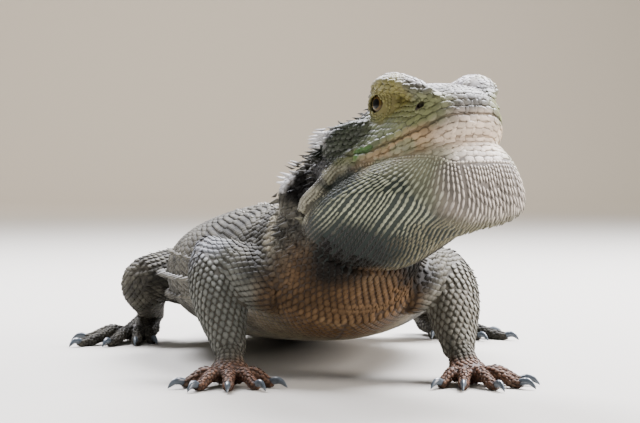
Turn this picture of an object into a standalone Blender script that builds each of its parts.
"""Central bearded dragon, a still life-size model of an adult that stands on the floor with its
head raised and turned, and its beard spread. Metres, +Z up; the animal faces -Y, and its left is +X."""

import math

import bmesh
import bpy
from mathutils import Matrix, Vector
from mathutils.bvhtree import BVHTree
from mathutils.noise import random, seed_set

MM = 0.001
GAP = 0.3 * MM  # between neighbours that touch
SPINE_STOUTNESS = 0.36  # a spine's half width at its root over its length
SINK = 1.1 * MM  # how deep the root of a spine lies

# The head, in its own axes: -Y to the snout, z 0 at the line of the mouth, y 0 between the ears
HEAD_PLACE = Vector((7.5, -89, 57)) * MM
HEAD_TURN = math.radians(21.5)  # to the animal's left
HEAD_LIFT = math.radians(18.5)
HEAD = (
    Matrix.Translation(HEAD_PLACE)
    @ Matrix.Rotation(HEAD_TURN, 4, "Z")
    @ Matrix.Rotation(-HEAD_LIFT, 4, "X")
)
HEAD_REAR = 9.0 * MM
EYE_PLACE = Vector((11.0, -28.0, 9.6)) * MM
EYE_RADIUS = 4.1 * MM
LID_RADII = Vector((4.6, 6.0, 5.2)) * MM
LID_OPENING = (Vector((4.2, -0.3, 0.0)) * MM, Vector((3.4, 2.9, 2.2)) * MM)  # from the eye's centre
SOCKET = (Vector((18.2, -31.0, 9.0)) * MM, Vector((4.6, 9.0, 4.2)) * MM)  # the hollow under the brow
NOSTRIL_RIM = (Vector((9.0, -42.7, 3.8)) * MM, Vector((2.3, 2.6, 2.1)) * MM)
NOSTRIL = (Vector((11.2, -43.4, 3.9)) * MM, Vector((1.4, 1.4, 1.0)) * MM)
EAR = (Vector((22.0, 0.0, -1.4)) * MM, Vector((4.6, 5.8, 4.0)) * MM)
LIP_RADIUS = 1.3
LIP_OFFSET = 1.45  # of a lip's middle from the line of the mouth
SKIN_SIDES = 24
LIMB_SIDES = 12
HEAD_TRIANGLES = 1500
JAW_TRIANGLES = 1100
NECK_WAIST = 0.05  # how far the neck narrows between head and trunk

# Sections of the head: y, half width, widest height, top, bottom, squareness, narrowing of the top
HEAD_SECTIONS = [
    (-48.6, 4.6, 0.6, 4.2, -3.0, 2.0, 0.0),
    (-47.6, 8.0, 0.4, 6.4, -5.2, 2.3, 0.05),
    (-45.4, 10.6, 0.2, 8.4, -7.2, 2.5, 0.12),
    (-41.8, 12.8, -0.2, 10.4, -8.6, 2.6, 0.20),
    (-37.0, 14.4, -0.5, 12.4, -9.6, 2.7, 0.26),
    (-32.0, 15.8, -0.8, 14.0, -10.4, 2.7, 0.29),
    (-27.0, 17.0, -1.0, 15.0, -11.0, 2.8, 0.29),
    (-21.0, 18.4, -1.4, 15.2, -11.8, 2.8, 0.28),
    (-15.0, 20.0, -1.8, 14.4, -12.5, 2.7, 0.29),
    (-9.0, 21.6, -2.0, 13.2, -13.0, 2.6, 0.31),
    (-3.0, 22.4, -2.2, 12.2, -13.5, 2.5, 0.33),
    (2.0, 22.0, -2.6, 11.8, -14.0, 2.4, 0.31),
    (6.0, 21.2, -3.0, 11.4, -14.0, 2.3, 0.28),
    (9.0, 20.4, -3.4, 11.4, -14.0, 2.3, 0.24),
]
# Sections of the spread beard under the jaw, which is deep and broad in front and keeled like a boat behind:
# y, half width, widest height, top, bottom, squareness above and below
BEARD_SECTIONS = [
    (-50.4, 5.4, -19.2, -15.0, -23.8, 2.0, 2.0),
    (-49.6, 9.2, -19.6, -12.0, -26.0, 2.2, 2.3),
    (-47.4, 11.6, -19.8, -7.0, -27.2, 2.3, 2.5),
    (-44.0, 13.7, -19.2, -3.6, -27.6, 2.4, 2.3),
    (-40.0, 16.0, -18.0, -2.6, -27.3, 2.4, 1.6),
    (-34.0, 19.2, -16.0, -2.0, -26.8, 2.3, 1.25),
    (-27.0, 22.2, -14.2, -2.0, -26.2, 2.2, 1.15),
    (-19.5, 24.0, -13.0, -2.0, -26.3, 2.1, 1.15),
    (-12.0, 24.6, -12.6, -2.0, -26.7, 2.05, 1.2),
    (-4.5, 24.2, -12.4, -3.0, -26.7, 2.05, 1.3),
    (3.0, 22.8, -12.4, -3.0, -25.4, 2.1, 1.5),
    (9.0, 20.8, -12.6, -3.0, -23.8, 2.1, 1.8),
]
# The line of the mouth from the side, carried on behind the ear so that the jaw comes away whole
MOUTH_LINE = [(-52, 0.3), (-48.4, 0.0), (-46, -1.2), (-42, -2.0), (-36, -2.1), (-24, -1.8), (-19, -0.8),
              (-14, 0.4), (-9, -3.4), (-3, -7.6), (11, -12.4)]
LIP_STATIONS = (-14, -19, -25, -31, -37, -42, -45.8)

# Soft ridges of the head: points on the left side, then the half width and height of the ridge at each
BROW = [(7.0, -45.4, 4.2), (9.8, -41.4, 8.6), (11.4, -37.0, 11.4), (12.0, -32.5, 13.1), (10.4, -27.5, 12.8),
        (9.2, -22.0, 11.4), (10.2, -15.5, 8.8)]
BROW_SIZES = [(1.8, 1.6), (2.8, 2.4), (3.6, 2.8), (4.2, 3.1), (3.7, 2.8), (2.8, 2.3), (2.0, 1.8)]
TEMPLE = [(13.8, -24, 5.0), (16.0, -18, 5.2), (16.8, -11, 5.4), (16.4, -5, 4.6), (14.8, 3, 3.0)]
TEMPLE_SIZES = [(1.6, 2.2), (2.6, 3.4), (3.2, 4.2), (3.2, 4.2), (2.2, 3.0)]
JAW_FOLD = [(17.2, -19.0, 0.2), (19.0, -14.5, -1.2), (20.4, -10.5, -3.6), (21.6, -6.3, -5.6),
            (22.2, -1.0, -6.8), (21.4, 5.0, -7.6)]
JAW_FOLD_SIZES = [(1.2, 1.2), (1.6, 1.6), (2.0, 1.9), (2.3, 2.1), (2.3, 2.2), (1.6, 1.7)]

# The trunk: y, z, lean of the section in degrees, half width, height above and below, squareness
TRUNK_SECTIONS = [
    (-69, 35.6, 30, 22.0, 18.0, 22.5, 2.3),
    (-58, 33.6, 18, 25.0, 18.4, 23.2, 2.3),
    (-42, 31.0, 8, 31.0, 19.6, 22.4, 2.25),
    (-22, 28.6, 3, 38.0, 20.8, 22.0, 2.2),
    (0, 27.0, 0, 43.0, 21.2, 22.2, 2.2),
    (20, 25.4, -2, 44.0, 20.8, 22.4, 2.2),
    (38, 23.4, -3, 39.0, 19.2, 21.8, 2.2),
    (54, 21.2, -4, 30.5, 17.5, 20.4, 2.2),
    (66, 18.4, -3, 23.0, 16.0, 18.8, 2.15),
    (78, 15.8, 0, 18.4, 13.9, 16.2, 2.1),
]
NECK_FRONT = (20.4, 17.4, 20.5, 2.4)  # half width, height above and below, squareness
NECK_DROP = -5.5  # its centre under the head's own y axis

# The tail runs from the trunk's last section: half width at stations along its length
TAIL_LENGTH = 250.0
TAIL_WIDTHS = [(0, 18.0), (14, 14.6), (32, 11.6), (56, 9.2), (84, 7.4), (116, 5.9), (150, 4.5), (184, 3.3),
               (216, 2.3), (240, 1.5), (250, 0.8)]
TAIL_DEPTH = 0.84  # height over width
TAIL_SWAY = 13.0  # sideways, of its slow double curve
TAIL_CUTS = (70.0, 160.0)
TAIL_RISE = 0.96  # height of the tail's middle over its depth, so that it lies on a narrow flat

# Limb joints on the right side (x < 0); the left side mirrors them with its own small changes
SHOULDER_R, ELBOW_R, WRIST_R = (-15, -71, 25), (-35, -52, 34.5), (-31, -72, 8.5)
SHOULDER_L, ELBOW_L, WRIST_L = (15, -71, 25), (32, -57, 31), (31.5, -78, 8.5)
HIP_R, KNEE_R, ANKLE_R = (-14, 64, 21), (-51, 45, 23), (-47, 68, 8)
HIP_L, KNEE_L, ANKLE_L = (14, 64, 21), (52, 51, 22), (47, 75, 8)
HAND_DIGITS = [(-56, 9.5), (-27, 12.5), (0, 15.0), (26, 14.5), (54, 10.5)]  # spread in degrees, length
FOOT_DIGITS = [(-38, 10.0), (-17, 15.0), (3, 20.0), (20, 25.0), (62, 13.0)]
# Half width and height at even shares of each length of a limb
UPPER_ARM = [(7.5, 8.5), (8.6, 9.4), (8.2, 8.6), (7.2, 7.4), (6.2, 6.4), (4.6, 4.8)]
FOREARM = [(3.0, 3.2), (5.8, 6.2), (7.5, 7.9), (7.9, 8.3), (7.5, 7.9), (6.5, 6.9), (5.2, 5.6), (4.3, 4.6)]
THIGH = [(9, 11), (11.5, 12.5), (11.5, 11.8), (10.0, 10.4), (8.0, 8.6), (5.6, 6.0)]
SHIN = [(3.4, 3.6), (6.8, 7.2), (8.0, 8.2), (7.2, 7.4), (5.8, 6.0), (4.8, 5.0), (4.2, 4.6)]
# A toe: share of its length and height of its middle at each knuckle, and its thickness there
DIGIT_LINE = [(0.0, 2.5), (0.28, 3.7), (0.55, 2.93), (0.8, 1.5), (1.0, 1.45)]
DIGIT_THICKNESS = 1.9
DIGIT_SHARES = (1.1, 1.12, 0.95, 0.9, 0.66)
# The palm: its height over the wrist joint, and over the floor at its middle and knuckles, then half width
# and height from the wrist to the knuckles
PALM_HEIGHTS = (1.5, 4.0, 2.8)
PALM_SIZES = [(3.6, 3.6), (4.2, 3.8), (5.6, 3.6), (5.4, 2.9)]
# A claw: how far out from the toe's tip, and how high above it, then its half width and height
CLAW_LINE = [(0.35, 0.25), (1.65, 0.7), (3.05, 0.35), (4.25, -0.5), (5.05, -1.2)]
CLAW_SIZES = [(0.85, 1.05), (0.8, 1.0), (0.62, 0.8), (0.4, 0.5), (0.12, 0.14)]

# Spines of the head by place and length: over the temple and round the ear at (y, z), on the nape at (x, y)
TEMPLE_SPINES = [(-14, 8.5, 2.0), (-9.5, 7.6, 2.6), (-5.0, 6.6, 3.2), (-0.5, 5.8, 3.8), (4.0, 5.0, 4.2)]
EAR_SPINES = [(-9.6, 3.0, 2.0), (-5.0, 3.2, 2.6), (5.4, 0.4, 3.6), (5.8, -3.4, 3.6)]
NAPE_SPINES = [(2.6, 3.6, 2.8), (7.2, 4.2, 3.2), (11.6, 4.4, 3.6), (15.4, 4.4, 4.0)]
# Rows of beard spines: height, length and count, how far round they reach and where their fan starts
BEARD_ROWS = [(-8.6, 2.0, 24, 126, -16), (-12.2, 2.6, 22, 126, -16), (-15.8, 3.2, 22, 126, -16),
              (-19.2, 3.6, 20, 112, -9), (-22.4, 3.4, 14, 112, -9)]
# Clusters on the neck: share of its length, then the lengths of their spines at three angles up its side
NECK_CLUSTERS = [(0.3, (3.0, 3.6, 3.4)), (0.62, (2.8, 3.4, 3.2))]
NECK_CLUSTER_ANGLES = (-14, 8, 30)
NAPE_ROW_LENGTH = 2.2
# Rows along each flank: angle up from level, count, length and how far back the row starts
FLANK_ROWS = [(-2, 18, 3.8, 0.0), (-13, 15, 3.0, 2.0)]
FLANK_START, FLANK_LENGTH = -38.0, 66.0
FLANK_TAPER = 0.35 / 44  # share of a spine's length lost for each millimetre from the middle of the trunk
FLANK_HEIGHT, BACK_HEIGHT = 26, 24  # of the middle that the rays start from
# Pairs of low spines along the back: their angle and length at each station
BACK_STATIONS = range(-54, 66, 12)
BACK_PAIRS = [(78, 1.8), (55, 2.2)]
# Tail spines: space at the tail's root and what it grows by at the tip, then root and growth of the lengths
TAIL_MARGIN = 6.0
TAIL_SPACE = (6.0, 4.0)
TAIL_SIDE_SPINE, TAIL_TOP_SPINE = (1.2, 2.6), (1.1, 1.2)
LIMB_SPINE = 1.7

SKIN = ("skin", (0.33, 0.29, 0.22, 1), 0.75)
BEARD = ("beard", (0.42, 0.38, 0.28, 1), 0.7)
EYE = ("eye", (0.10, 0.08, 0.04, 1), 0.15)
CLAW = ("claw", (0.07, 0.07, 0.08, 1), 0.35)


def material(kind):
    name, colour, roughness = kind
    made = bpy.data.materials.get(name) or bpy.data.materials.new(name)
    made.use_nodes = True
    surface = made.node_tree.nodes["Principled BSDF"]
    surface.inputs["Base Color"].default_value = colour
    surface.inputs["Roughness"].default_value = roughness
    return made


def keep(mesh_data, name, kind=SKIN):
    """An object of this mesh, smooth where it is round."""
    bmesh.ops.remove_doubles(mesh_data, verts=mesh_data.verts, dist=1e-7)
    bmesh.ops.recalc_face_normals(mesh_data, faces=mesh_data.faces)
    mesh = bpy.data.meshes.new(name)
    mesh_data.to_mesh(mesh)
    mesh_data.free()
    mesh.materials.append(material(kind))
    made = bpy.data.objects.new(name, mesh)
    bpy.context.scene.collection.objects.link(made)
    return made


def combine(target, pieces, operation="UNION", solver="EXACT"):
    """Joins the pieces to the target, or cuts them from it, and removes them."""
    group = bpy.data.collections.new("pieces")
    for piece in pieces:
        group.objects.link(piece)
    step = target.modifiers.new("combine", "BOOLEAN")
    step.operation = operation
    step.operand_type = "COLLECTION"
    step.collection = group
    step.solver = solver
    bpy.context.view_layer.update()
    whole = bpy.data.meshes.new_from_object(target.evaluated_get(bpy.context.evaluated_depsgraph_get()))
    target.modifiers.remove(step)
    target.data = whole
    for piece in pieces:
        bpy.data.objects.remove(piece)
    bpy.data.collections.remove(group)
    return target


def keep_largest(target):
    """Leaves only the largest closed surface of a mesh."""
    work = bmesh.new()
    work.from_mesh(target.data)
    bmesh.ops.triangulate(work, faces=work.faces)
    waiting = set(work.verts)
    shells = []
    while waiting:
        shell, edge = set(), [waiting.pop()]
        while edge:
            vert = edge.pop()
            shell.add(vert)
            near = {link.other_vert(vert) for link in vert.link_edges} & waiting
            waiting -= near
            edge.extend(near)
        shells.append(shell)
    shells.sort(key=len)
    for shell in shells[:-1]:
        bmesh.ops.delete(work, geom=list(shell), context="VERTS")
    work.to_mesh(target.data)
    work.free()
    return target


def rounded(angle, width, above, below, power, narrowing=0.0):
    """A point of a section: a squared ellipse with its own height above and below, narrower at the top.

    The squareness is one number, or one for above and one for below."""
    across, rise = math.cos(angle), math.sin(angle)
    if isinstance(power, tuple):
        power = power[0] if rise > 0 else power[1]
    x = width * math.copysign(abs(across) ** (2 / power), across)
    z = (above if rise > 0 else below) * math.copysign(abs(rise) ** (2 / power), rise)
    if rise > 0:
        x *= 1 - narrowing * z / above
    return x, z


def loft(sections, sides, grow=0.0):
    """A closed tube through sections: (frame, half width, above, below, squareness, narrowing)."""
    work = bmesh.new()
    loops = []
    for index, (frame, width, above, below, power, narrowing) in enumerate(sections):
        end = -1 if index == 0 else 1 if index == len(sections) - 1 else 0
        ring = bmesh.ops.create_circle(work, segments=sides, radius=1.0)["verts"]
        for vert in ring:
            angle = math.atan2(vert.co.y, vert.co.x)
            x, z = rounded(angle, width + grow, above + grow, below + grow, power, narrowing)
            vert.co = frame @ Vector((x, end * grow, z))
        loops.append(list({edge for vert in ring for edge in vert.link_edges}))
    for first, second in zip(loops, loops[1:]):
        bmesh.ops.bridge_loops(work, edges=first + second)
    for loop in (loops[0], loops[-1]):
        bmesh.ops.contextual_create(work, geom=loop)
    return work


def frame_of(place, forward, up):
    """Axes whose y runs backwards along a part and whose z is nearest to up."""
    along = Vector(forward).normalized()
    side = along.cross(Vector(up)).normalized()
    rise = side.cross(along)
    made = Matrix((side, along, rise)).transposed().to_4x4()
    made.translation = place
    return made


def along(points, sizes, up=(0, 0, 1)):
    """Sections through points in millimetres; a size is (half width, half height)."""
    places = [Vector(point) * MM for point in points]
    made = []
    for index, (place, (width, height)) in enumerate(zip(places, sizes)):
        before = places[max(index - 1, 0)]
        after = places[min(index + 1, len(places) - 1)]
        made.append((frame_of(place, after - before, up), width * MM, height * MM, height * MM, 2.0, 0.0))
    return made


def between(start, end, share):
    return Vector(start).lerp(Vector(end), share)


def ball(place, radii, frame=Matrix.Identity(4), rings=8, name="ball"):
    """An ellipsoid in a frame, sizes in metres."""
    work = bmesh.new()
    size = Matrix.Diagonal((*radii, 1))
    bmesh.ops.create_uvsphere(
        work, u_segments=rings * 2, v_segments=rings, radius=1.0,
        matrix=frame @ Matrix.Translation(place) @ size,
    )
    return keep(work, name)


def head_sections(rows):
    made = []
    for y, width, widest, top, bottom, power, narrowing in rows:
        frame = HEAD @ Matrix.Translation(Vector((0, y, widest)) * MM)
        made.append((frame, width * MM, (top - widest) * MM, (widest - bottom) * MM, power, narrowing))
    return made


def side_prism(profile, far, name):
    """A block across the whole head whose one edge is a line seen from the side; far is its other edge."""
    work = bmesh.new()
    reach = 40 * MM
    outline = [(y, z) for y, z in profile] + [(profile[-1][0], far), (profile[0][0], far)]
    verts = [work.verts.new(HEAD @ Vector((-reach, y * MM, z * MM))) for y, z in outline]
    face = work.faces.new(verts)
    swept = bmesh.ops.extrude_face_region(work, geom=[face])["geom"]
    step = HEAD.to_3x3() @ Vector((2 * reach, 0, 0))
    moved = [item for item in swept if isinstance(item, bmesh.types.BMVert)]
    bmesh.ops.translate(work, vec=step, verts=moved)
    return keep(work, name)


def head_half_width(y, z):
    """Half width of the head in millimetres at a height near the line of the mouth."""
    rows = HEAD_SECTIONS
    for first, second in zip(rows, rows[1:]):
        if first[0] <= y <= second[0]:
            share = (y - first[0]) / (second[0] - first[0])
            row = [a + (b - a) * share for a, b in zip(first, second)]
            break
    else:
        row = rows[0] if y < rows[0][0] else rows[-1]
    _, width, widest, top, bottom, power, narrowing = row
    height = (z - widest) / ((top - widest) if z > widest else (widest - bottom))
    across = width * max(0.0, 1 - abs(height) ** power) ** (1 / power)
    return across * (1 - narrowing * max(0.0, height))


def mouth_height(y):
    """Height of the line of the mouth at a station along the head, in millimetres."""
    for (start, first), (end, second) in zip(MOUTH_LINE, MOUTH_LINE[1:]):
        if y <= end:
            return first + (second - first) * (y - start) / (end - start)
    return MOUTH_LINE[-1][1]


def lip(offset, name):
    """A low ridge along one lip, round the snout from corner to corner."""
    points = []
    for y in LIP_STATIONS:
        z = mouth_height(y) + offset
        points.append((head_half_width(y, z) - 0.4 * LIP_RADIUS, y, z))
    points.append((3.6, -47.8, offset))
    outline = points + [(-x, y, height) for x, y, height in reversed(points)]
    inner, end = (0.75 * LIP_RADIUS, LIP_RADIUS), (0.55 * LIP_RADIUS, LIP_RADIUS)
    sizes = [end] + [inner] * (len(outline) - 2) + [end]
    sections = [(HEAD @ frame, *rest) for frame, *rest in along(outline, sizes)]
    return keep(loft(sections, 6), name)


def both(shape):
    """The same shape on the animal's right and left: shape(side) with side -1 and 1."""
    return [shape(-1), shape(1)]


def on_side(place, side):
    return Vector((place[0] * side, place[1], place[2]))


def bar(points, sizes, sides=8, frame=HEAD, name="bar"):
    """A round bar through points in millimetres, in a frame; a size is (half width, half height)."""
    return keep(loft([(frame @ place, *rest) for place, *rest in along(points, sizes)], sides), name)


def ridges(points, sizes):
    """The same soft ridge on both sides of the head."""
    return both(lambda side: bar([on_side(point, side) for point in points], sizes))


def hollows(place_and_radii, rings):
    """The same ellipsoid on both sides of the head."""
    place, radii = place_and_radii
    return both(lambda side: ball(on_side(place, side), radii, HEAD, rings))


def melt(forms, voxel, rounds, triangles, name):
    """One smooth skin round overlapping forms, with few faces."""
    target = forms[0]
    work = bmesh.new()
    for form in forms:
        work.from_mesh(form.data)
    work.to_mesh(target.data)
    work.free()
    for form in forms[1:]:
        bpy.data.objects.remove(form)
    target.name = name
    grid = target.modifiers.new("grid", "REMESH")
    grid.mode = "VOXEL"
    grid.voxel_size = voxel
    soften = target.modifiers.new("soften", "SMOOTH")
    soften.factor = 0.5
    soften.iterations = rounds
    bpy.context.view_layer.update()
    fine = target.evaluated_get(bpy.context.evaluated_depsgraph_get())
    count = sum(len(face.vertices) - 2 for face in fine.data.polygons)
    fewer = target.modifiers.new("fewer", "DECIMATE")
    fewer.ratio = min(1.0, triangles / count)
    bpy.context.view_layer.update()
    whole = bpy.data.meshes.new_from_object(target.evaluated_get(bpy.context.evaluated_depsgraph_get()))
    target.modifiers.clear()
    target.data = whole
    return target


def spine(place, direction, length, radius, flat, normal):
    """A spiny scale: a four-sided point whose root lies in the skin and whose tip leans along its lie."""
    work = bmesh.new()
    whole = length + SINK
    axis = frame_of(place, direction, normal)
    made = bmesh.ops.create_cone(work, cap_ends=True, segments=4, radius1=radius, radius2=0.0, depth=whole)
    lay_down = Matrix.Rotation(math.radians(-90), 4, "X")
    squash = Matrix.Diagonal((1, 1, flat, 1))
    place_it = axis @ squash @ Matrix.Translation((0, whole / 2 - SINK, 0)) @ lay_down
    bmesh.ops.transform(work, matrix=place_it, verts=made["verts"])
    return keep(work, "spine")


def varied(amount, share=0.3):
    """A size varied as the real ones are."""
    return amount * (1 + share * (random() - 0.5))


def add_spines(target, spots, clear_of=()):
    """Spines where rays from inside meet a skin, fused to it and cut clear of its neighbours.

    A spot is (origin in mm, direction, lie, length in mm, lift): the spine leans from the lie
    of the scales towards the skin's normal by its lift."""
    work = bmesh.new()
    work.from_mesh(target.data)
    skin = BVHTree.FromBMesh(work)
    work.free()
    spines = []
    for origin, direction, lie, length, lift in spots:
        place, normal, _, _ = skin.ray_cast(Vector(origin) * MM, Vector(direction).normalized())
        flow = (Vector(lie) - normal * Vector(lie).dot(normal)).normalized()
        long = varied(length) * MM
        leaning = (flow * (1 - lift) + normal * lift).normalized()
        spines.append(spine(place, leaning, long, long * SPINE_STOUTNESS, 0.7, normal))
    combine(target, spines)
    if clear_of:
        combine(target, list(clear_of), "DIFFERENCE")
    return keep_largest(target)


def in_head(place, direction, lie, length, lift):
    """A spot given in the head's own axes."""
    turn = HEAD.to_3x3()
    return (HEAD @ (Vector(place) * MM)) / MM, turn @ Vector(direction), turn @ Vector(lie), length, lift


def head_spots():
    """Rows over the temple and round the ear, and the row across the back of the skull."""
    spots = []
    for side in (-1, 1):
        for y, z, length in TEMPLE_SPINES:
            spots.append(in_head((0, y, z), (side, 0, 0.08), (side * 0.5, 0.9, 0.1), length, 0.5))
        for y, z, length in EAR_SPINES:
            spots.append(in_head((0, y, z), (side, 0, 0), (side * 0.5, 0.9, -0.1), length, 0.5))
        for x, y, length in NAPE_SPINES:
            spots.append(in_head((side * x, y, 0), (0, 0, 1), (side * 0.2, 1, 0.2), length, 0.5))
    return spots


def beard_spots():
    """Staggered rows round the spread beard, longest along its lower edge."""
    spots = []
    for number, (z, length, count, reach, start) in enumerate(BEARD_ROWS):
        stagger = 0.5 * (number % 2)
        for index in range(count):
            share = (index + stagger) / (count - 1 + stagger)
            angle = math.radians(-reach + 2 * reach * share)
            way = (math.sin(angle), -math.cos(angle), 0)
            spots.append(in_head((0, start, z), way, (0, 0.45, -1), length, 0.34))
    return spots


def neck_spots():
    """Clusters on both sides of the neck and a sparse double row along the nape."""
    spots = []
    sections = neck_sections()
    for share, lengths in NECK_CLUSTERS:
        frame = sections[round(share * (len(sections) - 1))][0]
        for side in (-1, 1):
            for angle, length in zip(NECK_CLUSTER_ANGLES, lengths):
                way = Vector((side * math.cos(math.radians(angle)), 0, math.sin(math.radians(angle))))
                lie = frame.to_3x3() @ Vector((side * 0.3, 1, -0.1))
                spots.append((frame.translation / MM, frame.to_3x3() @ way, lie, length, 0.5))
            way = frame.to_3x3() @ Vector((side * 0.28, 0, 1))
            lie = frame.to_3x3() @ Vector((0, 1, 0.1))
            spots.append((frame.translation / MM, way, lie, NAPE_ROW_LENGTH, 0.45))
    return spots


def trunk_spots():
    """The two rows of spines along each flank, and the small clusters in pairs along the back."""
    spots = []
    for side in (-1, 1):
        for angle, count, length, behind in FLANK_ROWS:
            way = (side * math.cos(math.radians(angle)), 0, math.sin(math.radians(angle)))
            for index in range(count):
                y = FLANK_START + behind + FLANK_LENGTH * index / (count - 1)
                swell = 1 - FLANK_TAPER * abs(y)
                spots.append(((0, y, FLANK_HEIGHT), way, (side * 0.4, 1, 0.15), length * swell, 0.55))
        for y in BACK_STATIONS:
            for angle, length in BACK_PAIRS:
                way = (side * math.cos(math.radians(angle)), 0, math.sin(math.radians(angle)))
                spots.append(((0, y, BACK_HEIGHT), way, (0, 1, 0.1), length, 0.4))
    return spots


def tail_spots(start, end):
    """Spines along both sides of the tail and pairs along its top, smaller to the tip."""
    spots = []
    space, wider = TAIL_SPACE
    at = start + TAIL_MARGIN
    while at < end - TAIL_MARGIN:
        size = tail_width(at) / tail_width(0)
        at_side, on_top = (least + more * size for least, more in (TAIL_SIDE_SPINE, TAIL_TOP_SPINE))
        for side in (-1, 1):
            spots.append((tail_place(at), (side, 0, 0.1), (side * 0.35, 1, 0.05), at_side, 0.5))
            spots.append((tail_place(at + space / 2), (side * 0.45, 0, 1), (0, 1, 0.1), on_top, 0.4))
        at += space + wider * (1 - size)
    return spots


def limb_spots(joints, reach, bulge):
    """A few spines on the upper and rear side of a limb's length."""
    start, end = (Vector(joint) for joint in joints)
    lie = (end - start).normalized()
    spots = []
    for index, share in enumerate(reach):
        tilt = bulge + Vector((0.12, 0.5, 0)) * (0.6 if index % 2 else -0.6)
        out = (tilt - lie * tilt.dot(lie)).normalized()
        spots.append((between(start, end, share), out, lie, LIMB_SPINE, 0.45))
    return spots


def build_head():
    """Skull and upper jaw: brow shelf, lids round the eyes, nostrils, upper lip and the cups of the ears."""
    skull = keep(loft(head_sections(HEAD_SECTIONS), SKIN_SIDES), "head")
    skull = combine(skull, hollows(SOCKET, 8), "DIFFERENCE")
    forms = [skull, *ridges(BROW, BROW_SIZES), *ridges(TEMPLE, TEMPLE_SIZES), lip(LIP_OFFSET, "upper_lip")]
    forms += hollows((EYE_PLACE, LID_RADII), 8) + hollows(NOSTRIL_RIM, 5)
    head = melt(forms, 0.8 * MM, 5, HEAD_TRIANGLES, "head")
    opening, radii = LID_OPENING
    cuts = hollows((EYE_PLACE, (EYE_RADIUS + GAP,) * 3), 7) + hollows((EYE_PLACE + opening, radii), 5)
    cuts += hollows(NOSTRIL, 4) + hollows(EAR, 6)
    below = [(y, z + GAP / MM / 2) for y, z in MOUTH_LINE]
    cuts += [side_prism(below, -60, "below_mouth"), rear_block()]
    return combine(head, cuts, "DIFFERENCE")


def rear_block():
    """What lies behind the flat rear of the head, where the neck begins."""
    work = bmesh.new()
    reach = 60 * MM
    place = HEAD @ Matrix.Translation((0, HEAD_REAR + reach / 2, 0))
    bmesh.ops.create_cube(work, size=1.0, matrix=place @ Matrix.Diagonal((2 * reach, reach, 2 * reach, 1)))
    return keep(work, "rear")


def build_jaw():
    """Lower jaw with its lip, the fold behind the mouth, and the pouch of the spread beard."""
    forms = [keep(loft(head_sections(HEAD_SECTIONS), SKIN_SIDES), "jaw_and_beard", BEARD)]
    beard = head_sections([(*row[:5], row[5:], 0.0) for row in BEARD_SECTIONS])
    forms.append(keep(loft(beard, SKIN_SIDES), "beard"))
    forms += [lip(-LIP_OFFSET, "lower_lip"), *ridges(JAW_FOLD, JAW_FOLD_SIZES)]
    jaw = melt(forms, 0.9 * MM, 5, JAW_TRIANGLES, "jaw_and_beard")
    above = [(y, z - GAP / MM / 2) for y, z in MOUTH_LINE]
    return combine(jaw, [side_prism(above, 60, "above_mouth"), rear_block()], "DIFFERENCE")


def trunk_sections():
    made = []
    for y, z, lean, width, above, below, power in TRUNK_SECTIONS:
        frame = Matrix.Translation(Vector((0, y, z)) * MM) @ Matrix.Rotation(math.radians(-lean), 4, "X")
        made.append((frame, width * MM, above * MM, below * MM, power, 0.0))
    return made


def neck_sections():
    """From the flat rear of the head down and back to the trunk's first section."""
    width, above, below, power = NECK_FRONT
    first = HEAD @ Matrix.Translation((0, HEAD_REAR + GAP, NECK_DROP * MM))
    last, *trunk = trunk_sections()[0]
    last = last @ Matrix.Translation((0, -GAP, 0))
    steps = 4
    made = []
    for step in range(steps + 1):
        share = step / steps
        turn = first.to_quaternion().slerp(last.to_quaternion(), share)
        place = first.translation.lerp(last.translation, share)
        waist = 1 - NECK_WAIST * math.sin(math.pi * share)
        sizes = [
            (a * MM) * (1 - share) + b * share
            for a, b in zip((width, above, below), trunk[:3])
        ]
        power_here = power * (1 - share) + trunk[3] * share
        frame = Matrix.Translation(place) @ turn.to_matrix().to_4x4()
        made.append((frame, sizes[0] * waist, sizes[1] * waist, sizes[2] * waist, power_here, 0.0))
    return made


def tail_width(along_it):
    for (start, first), (end, second) in zip(TAIL_WIDTHS, TAIL_WIDTHS[1:]):
        if along_it <= end:
            return first + (second - first) * (along_it - start) / (end - start)
    return TAIL_WIDTHS[-1][1]


def tail_place(along_it):
    """The tail's centre: it comes down to the floor and lies along it in a slow double curve."""
    y = TRUNK_SECTIONS[-1][0]
    share = along_it / TAIL_LENGTH
    sway = TAIL_SWAY * math.sin(2 * math.pi * share) * min(1.0, 2.2 * share)
    return Vector((sway, y + along_it, tail_width(along_it) * TAIL_DEPTH * TAIL_RISE))


def tail_sections(start, end):
    stations = [at for at, _ in TAIL_WIDTHS if start < at < end]
    stations = [start] + stations + [end]
    made = []
    for at in stations:
        forward = tail_place(min(at + 2, TAIL_LENGTH)) - tail_place(max(at - 2, 0))
        if at < 2:
            forward = Vector((0, 1, 0))
        width = tail_width(at)
        depth = width * TAIL_DEPTH
        frame = frame_of(tail_place(at) * MM, forward, (0, 0, 1))
        made.append((frame, width * MM, depth * MM, depth * MM, 2.1, 0.0))
    return made


def floor_block():
    work = bmesh.new()
    size = 1.2
    bmesh.ops.create_cube(work, size=size, matrix=Matrix.Translation((0, 0, -size / 2)))
    return keep(work, "floor")


def limb(joints, sizes, grow=0.0, name="limb", kind=SKIN):
    """A limb's length with round ends: joints in millimetres, and sizes at even shares along it."""
    start, end = joints
    count = len(sizes)
    points = [between(start, end, index / (count - 1)) for index in range(count)]
    return keep(loft(along(points, sizes, up=(0.3, 0.9, 0.3)), LIMB_SIDES, grow * MM), name, kind)


def digit(root, way, length, thick):
    """From the palm out along the floor, over a raised knuckle and down to the tip, which it also gives."""
    line = [Vector((root.x, root.y, z)) + way * length * share for share, z in DIGIT_LINE]
    sizes = [(thick * share, thick * share) for share in DIGIT_SHARES]
    return bar(line, sizes, 8, Matrix(), "digit"), line[-1]


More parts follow.
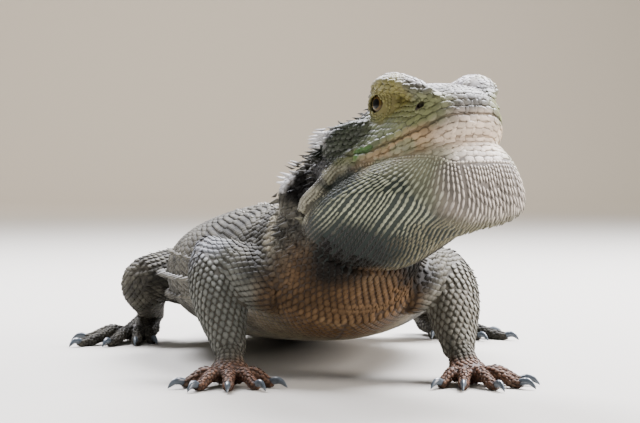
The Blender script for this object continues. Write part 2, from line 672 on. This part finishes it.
def build_foot(name, wrist, heading, digits, mirror, palm_length, size):
    """The palm and its digits, one piece, with its claws: the digits lie on the floor with small flats."""
    out = Vector((math.sin(heading), -math.cos(heading), 0))
    aside = Vector((math.cos(heading), math.sin(heading), 0))
    wrist = Vector(wrist)
    above_wrist, middle_height, knuckle_height = PALM_HEIGHTS
    knuckles = Vector((wrist.x, wrist.y, knuckle_height)) + out * palm_length
    middle = between(wrist, knuckles, 0.55)
    middle.z = middle_height
    points = [wrist + Vector((0, 0, above_wrist)), between(wrist, middle, 0.55), middle, knuckles]
    palm = keep(loft(along(points, [(width * size, height) for width, height in PALM_SIZES]), 10), name)
    pieces = []
    for number, (spread, length) in enumerate(digits, 1):
        spread = math.radians(spread) * mirror
        way = Vector((math.sin(heading + spread), -math.cos(heading + spread), 0))
        root = knuckles - out * 1.6 + way * 1.2 + aside * math.sin(spread) * 3.6 * size
        piece, tip = digit(root, way, length, DIGIT_THICKNESS * size)
        pieces.append(piece)
        claw_points = [tip + way * reach + Vector((0, 0, rise)) for reach, rise in CLAW_LINE]
        claw = bar(claw_points, CLAW_SIZES, 6, Matrix(), f"claw_{name}_{number}")
        claw.data.materials[0] = material(CLAW)
    return combine(palm, pieces)


def trunk_cutter():
    return keep(loft(trunk_sections(), SKIN_SIDES, GAP), "trunk_cutter")


def neck_cutter():
    return keep(loft(neck_sections(), SKIN_SIDES, GAP), "neck_cutter")


def build_eyes():
    for side, name in ((-1, "eye_right"), (1, "eye_left")):
        eye = ball(on_side(EYE_PLACE, side), (EYE_RADIUS,) * 3, HEAD, 7, name)
        eye.data.materials[0] = material(EYE)


def build_body():
    neck = keep(loft(neck_sections(), SKIN_SIDES), "neck")
    add_spines(neck, neck_spots(), [trunk_cutter()])
    trunk = keep(loft(trunk_sections(), SKIN_SIDES), "trunk")
    add_spines(trunk, trunk_spots(), [floor_block()])
    cuts = (0.0, *TAIL_CUTS, TAIL_LENGTH)
    for name, start, end in zip(("tail_base", "tail_middle", "tail_tip"), cuts, cuts[1:]):
        tail = keep(loft(tail_sections(start + GAP / MM, end), 14), name)
        add_spines(tail, tail_spots(start, end), [floor_block()])


def build_leg(side, mirror, joints, joint_names, sizes, foot_form):
    """One leg: its upper length cut to the trunk and to the lower one, and its foot with the claws."""
    hip, knee, ankle = joints
    upper_name, lower_name, foot_name = (f"{name}_{side}" for name in joint_names)
    upper_sizes, lower_sizes = sizes
    lower_joints = (between(ankle, knee, 1.13), between(knee, ankle, 1.02))
    lower = limb(lower_joints, lower_sizes, name=lower_name)
    upper = limb((hip, between(hip, knee, 1.03)), upper_sizes, name=upper_name)
    add_spines(upper, limb_spots((hip, knee), (0.55, 0.68, 0.8), Vector((mirror * 0.4, 0.2, 1))),
               [limb(lower_joints, lower_sizes, GAP / MM), trunk_cutter(), neck_cutter()])
    add_spines(lower, limb_spots((knee, ankle), (0.15, 0.3, 0.45, 0.6), Vector((mirror * 0.6, 1, 0.5))))
    heading, digits, palm_length, size = foot_form
    foot = build_foot(foot_name, ankle, math.radians(heading), digits, mirror, palm_length, size)
    combine(foot, [limb(lower_joints, lower_sizes, GAP / MM), floor_block()], "DIFFERENCE")
    keep_largest(foot)


def settle():
    """Moves the whole animal so that the middle of its box on the floor is the origin."""
    bodies = [item for item in bpy.context.scene.objects if item.type == "MESH"]
    places = [vert.co for item in bodies for vert in item.data.vertices]
    low, high = (Vector(pick(place[axis] for place in places) for axis in range(3)) for pick in (min, max))
    step = Matrix.Translation((-(low.x + high.x) / 2, -(low.y + high.y) / 2, -low.z))
    for item in bodies:
        item.data.transform(step)


def main():
    for item in list(bpy.data.objects):
        bpy.data.objects.remove(item)
    seed_set(7)
    add_spines(build_head(), head_spots(), [neck_cutter()])
    add_spines(build_jaw(), beard_spots(), [neck_cutter(), trunk_cutter()])
    build_eyes()
    build_body()
    for side, mirror, arm_joints, leg_joints, hand_heading, foot_heading in (
        ("right", -1, (SHOULDER_R, ELBOW_R, WRIST_R), (HIP_R, KNEE_R, ANKLE_R), -6, -24),
        ("left", 1, (SHOULDER_L, ELBOW_L, WRIST_L), (HIP_L, KNEE_L, ANKLE_L), 14, 24),
    ):
        build_leg(side, mirror, arm_joints, ("upper_arm", "forearm", "hand"), (UPPER_ARM, FOREARM),
                  (hand_heading, HAND_DIGITS, 9.0, 1.0))
        build_leg(side, mirror, leg_joints, ("thigh", "shin", "foot"), (THIGH, SHIN),
                  (foot_heading, FOOT_DIGITS, 15.0, 1.12))
    settle()


main()
